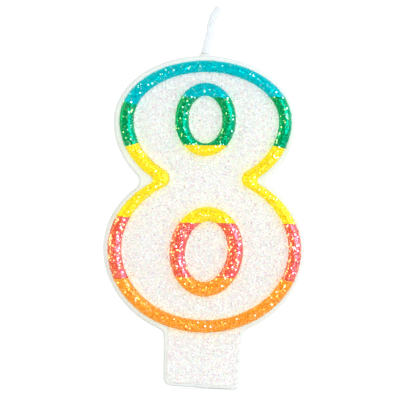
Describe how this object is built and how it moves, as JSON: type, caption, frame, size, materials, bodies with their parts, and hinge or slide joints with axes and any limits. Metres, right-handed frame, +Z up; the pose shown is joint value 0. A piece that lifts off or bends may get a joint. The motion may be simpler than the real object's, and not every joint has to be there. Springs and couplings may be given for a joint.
{
  "type": "number birthday candle",
  "caption": "Flat wax birthday candle shaped as the numeral eight, with raised rainbow outlines, a glitter coated face, a wick at the top and a wide stem for pushing into a cake.",
  "frame": {"origin": "centre of the trimmed foot of the stem", "axes": "+Z up the candle from the foot to the wick, +X to the right seen from the decorated front, -Y out of the decorated front, so +Y is the plain back"},
  "size_m": [0.0489, 0.0102, 0.0928],
  "materials": {
    "white_wax": "opaque white paraffin wax, soft gloss, slightly translucent at the edges",
    "aqua_wax": "aqua coloured wax with glitter, gloss",
    "green_wax": "green coloured wax with glitter, gloss",
    "yellow_wax": "yellow coloured wax with glitter, gloss",
    "red_wax": "coral red coloured wax with glitter, gloss",
    "orange_wax": "orange coloured wax with glitter, gloss",
    "wick_wax": "clear to white priming wax, satin",
    "wick_cotton": "bleached twisted cotton",
    "glitter_lacquer": "clear lacquer full of fine pearl glitter"
  },
  "bodies": {
    "root": {"wax_body": "white_wax", "wick_wax_sheath": "wick_wax", "wick_cotton_cord": "wick_cotton", "aqua_outline_top": "aqua_wax", "aqua_upper_ring_top": "aqua_wax", "green_outline_left": "green_wax", "green_outline_right": "green_wax", "green_upper_ring_left": "green_wax", "green_upper_ring_right": "green_wax", "yellow_outline_left": "yellow_wax", "yellow_outline_right": "yellow_wax", "yellow_upper_ring_foot": "yellow_wax", "yellow_lower_ring_top": "yellow_wax", "red_outline_left": "red_wax", "red_outline_right": "red_wax", "red_lower_ring_left": "red_wax", "red_lower_ring_right": "red_wax", "orange_outline_bottom": "orange_wax", "orange_lower_ring_foot": "orange_wax", "glitter_coat_face": "glitter_lacquer", "glitter_coat_upper_eye": "glitter_lacquer", "glitter_coat_lower_eye": "glitter_lacquer", "glitter_coat_stem": "glitter_lacquer"}
  },
  "joints": []
}
